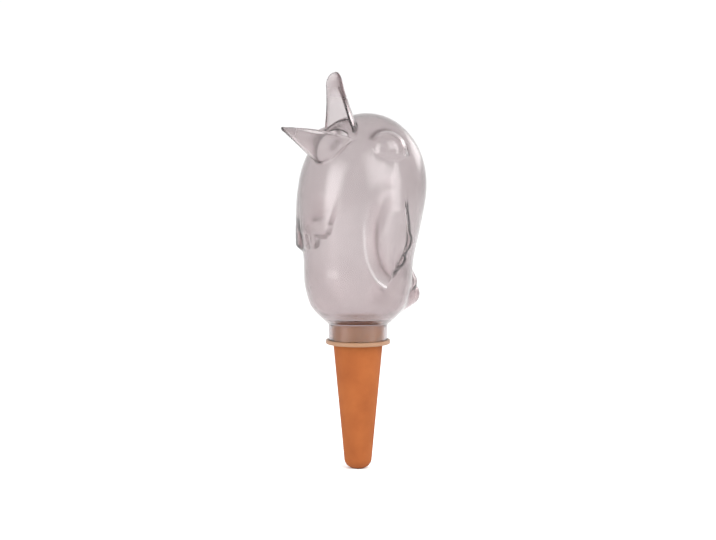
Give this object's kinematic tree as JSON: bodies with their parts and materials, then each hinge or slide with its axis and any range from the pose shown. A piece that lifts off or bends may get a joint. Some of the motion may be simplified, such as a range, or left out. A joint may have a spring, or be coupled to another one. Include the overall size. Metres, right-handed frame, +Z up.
{
  "type": "self watering spike",
  "caption": "Self watering spike: a clear hollow bird with an open beak holds water and plugs, by a sealing collar, on a hollow clay spike pushed into potting soil.",
  "frame": {"origin": "on the spike's axis, at the underside of the collar's flange, where the soil ends when the spike is pushed in", "axes": "+Z up along the spike's axis, the bird looks along -Y, and its left side is at +X"},
  "size_m": [0.0628, 0.0852, 0.1917],
  "materials": {
    "clear_plastic": "clear moulded plastic with a faint mauve grey tint, glossy",
    "collar_plastic": "soft milky translucent plastic, satin",
    "terracotta": "unglazed fired clay, fine grained and matt"
  },
  "bodies": {
    "spike": {"clay_spike": "terracotta", "sealing_collar": "collar_plastic"},
    "bird": {"reservoir": "clear_plastic"}
  },
  "joints": [
    {"name": "bird_lift", "type": "slide", "parent": "spike", "child": "bird", "axis": [0, 0, 1], "range_m": [0, 0.03]}
  ]
}
